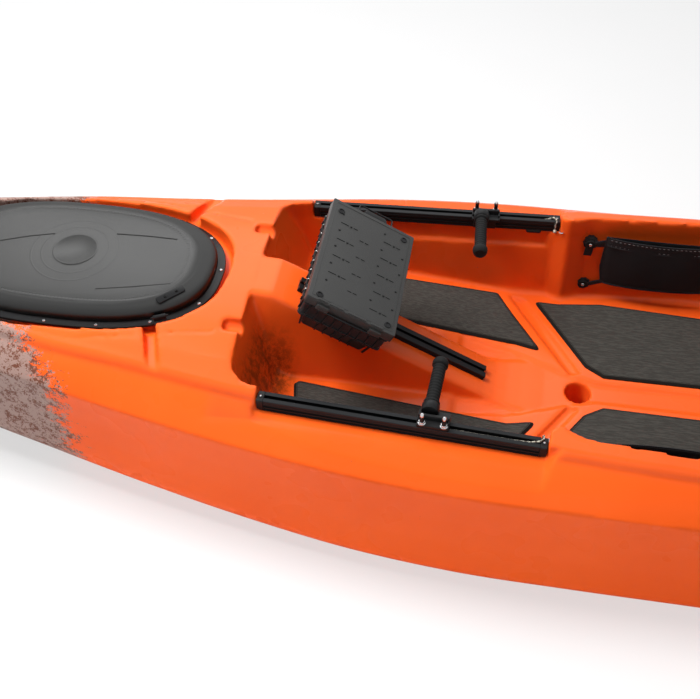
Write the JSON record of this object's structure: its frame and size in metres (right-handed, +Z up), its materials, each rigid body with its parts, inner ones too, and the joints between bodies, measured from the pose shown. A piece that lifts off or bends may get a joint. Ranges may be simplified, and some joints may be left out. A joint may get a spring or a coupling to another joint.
{
  "type": "fishing kayak",
  "caption": "Sit-on-top fishing kayak with hinged bow hatch, sliding foot pegs, slide-on tackle box, folding frame seat, rod holders and open tankwell.",
  "frame": {"origin": "on the ground under the middle of the hull", "axes": "bow towards -X, stern towards +X, port towards -Y, starboard towards +Y, +Z up"},
  "size_m": [3.84, 0.8648, 0.7572],
  "materials": {
    "hull": "satin orange rotomoulded polyethylene",
    "black_lid": "satin charcoal moulded plastic",
    "black_plastic": "satin black moulded plastic",
    "black_rubber": "matte black rubber",
    "dark_aluminium": "satin black anodised",
    "bare_steel": "bright stainless",
    "grey_foam": "fine-textured dark grey foam",
    "black_fabric": "woven black mesh and webbing",
    "pale_cord": "braided cord"
  },
  "bodies": {
    "hull": {"hull": "hull", "hatch_rim": "black_plastic", "bow_handle": "black_plastic", "stern_handle": "black_plastic", "port_rail_front_cap": "black_plastic", "port_rail_rear_cap": "black_plastic", "port_upper_knob": "black_plastic", "port_lower_knob": "black_plastic", "port_rod_holder": "black_plastic", "port_handle_mount": "black_plastic", "starboard_rail_front_cap": "black_plastic", "starboard_rail_rear_cap": "black_plastic", "starboard_upper_knob": "black_plastic", "starboard_lower_knob": "black_plastic", "starboard_rod_holder": "black_plastic", "starboard_handle_mount": "black_plastic", "hatch_gasket": "black_rubber", "tankwell_lashing": "black_rubber", "console_track": "dark_aluminium", "seat_base_frame": "dark_aluminium", "port_foot_rail": "dark_aluminium", "port_gear_track": "dark_aluminium", "starboard_foot_rail": "dark_aluminium", "starboard_gear_track": "dark_aluminium", "hatch_hinge_pin": "bare_steel", "port_front_pad": "grey_foam", "port_rear_pad": "grey_foam", "starboard_front_pad": "grey_foam", "starboard_rear_pad": "grey_foam", "seat_sling": "black_fabric", "port_pouch": "black_fabric", "starboard_pouch": "black_fabric", "port_release_cord": "pale_cord", "starboard_release_cord": "pale_cord"},
    "hatch_lid": {"hatch_lid": "black_lid"},
    "hatch_latch": {"hatch_latch": "black_plastic"},
    "tackle_box": {"box_track_plate": "black_plastic", "tackle_box": "black_plastic", "box_hinge_pin": "bare_steel", "box_lash_cord": "pale_cord"},
    "tackle_box_lid": {"tackle_box_lid": "black_lid"},
    "box_latch": {"box_latch": "black_plastic"},
    "seat_back": {"seat_back_frame": "dark_aluminium", "back_sling": "black_fabric"},
    "drain_plug": {"drain_plug": "black_plastic"},
    "port_peg": {"port_peg_bracket": "black_plastic", "port_peg_grip": "black_rubber", "port_peg_front_bolt": "bare_steel", "port_peg_rear_bolt": "bare_steel"},
    "port_side_handle": {"port_side_handle": "black_rubber"},
    "port_rod_holder_cap": {"port_rod_holder_cap": "black_rubber"},
    "starboard_peg": {"starboard_peg_bracket": "black_plastic", "starboard_peg_grip": "black_rubber", "starboard_peg_front_bolt": "bare_steel", "starboard_peg_rear_bolt": "bare_steel"},
    "starboard_side_handle": {"starboard_side_handle": "black_rubber"},
    "starboard_rod_holder_cap": {"starboard_rod_holder_cap": "black_rubber"}
  },
  "joints": [
    {"name": "hatch_lid_hinge", "type": "hinge", "parent": "hull", "child": "hatch_lid", "pos_m": [-1.4856, 0, 0.3846], "axis": [0, -1, 0], "range_deg": [0, 95]},
    {"name": "hatch_latch_swing", "type": "hinge", "parent": "hatch_lid", "child": "hatch_latch", "pos_m": [-0.93769, -0.14481, 0.3886], "axis": [-0.8917, -0.4526, 0], "range_deg": [0, 100]},
    {"name": "port_peg_slide", "type": "slide", "parent": "hull", "child": "port_peg", "axis": [0.9985, -0.0548, 0], "range_m": [-0.29, 0.16]},
    {"name": "starboard_peg_slide", "type": "slide", "parent": "hull", "child": "starboard_peg", "axis": [0.9985, 0.0548, 0], "range_m": [-0.338, 0.112]},
    {"name": "tackle_box_slide", "type": "slide", "parent": "hull", "child": "tackle_box", "axis": [0.8868, 0, -0.4622], "range_m": [-0.03, 0.15]},
    {"name": "tackle_box_lid_hinge", "type": "hinge", "parent": "tackle_box", "child": "tackle_box_lid", "pos_m": [-0.55122, -0.1513, 0.43636], "axis": [0.8868, 0, -0.4622], "range_deg": [0, 110]},
    {"name": "box_latch_swing", "type": "hinge", "parent": "tackle_box_lid", "child": "box_latch", "pos_m": [-0.54512, 0.1508, 0.44806], "axis": [0.8868, 0, -0.4622], "range_deg": [0, 100]},
    {"name": "seat_back_fold", "type": "hinge", "parent": "hull", "child": "seat_back", "pos_m": [0.736, 0, 0.326], "axis": [0, -1, 0], "range_deg": [-25, 74]},
    {"name": "drain_plug_turn", "type": "hinge", "parent": "hull", "child": "drain_plug", "pos_m": [1.69, 0, 0.4], "axis": [0, 0, 1], "range_deg": [0, 360]},
    {"name": "port_side_handle_swing", "type": "hinge", "parent": "hull", "child": "port_side_handle", "pos_m": [0.32, -0.38879, 0.34896], "axis": [-1, 0, 0], "range_deg": [0, 110]},
    {"name": "starboard_side_handle_swing", "type": "hinge", "parent": "hull", "child": "starboard_side_handle", "pos_m": [0.32, 0.38879, 0.34896], "axis": [1, 0, 0], "range_deg": [0, 110]},
    {"name": "port_rod_holder_cap_hinge", "type": "hinge", "parent": "hull", "child": "port_rod_holder_cap", "pos_m": [0.92827, -0.23856, 0.38662], "axis": [0.042, 0.9703, 0.2382], "range_deg": [0, 120]},
    {"name": "starboard_rod_holder_cap_hinge", "type": "hinge", "parent": "hull", "child": "starboard_rod_holder_cap", "pos_m": [0.92827, 0.23856, 0.38662], "axis": [-0.042, 0.9703, -0.2382], "range_deg": [0, 120]}
  ]
}
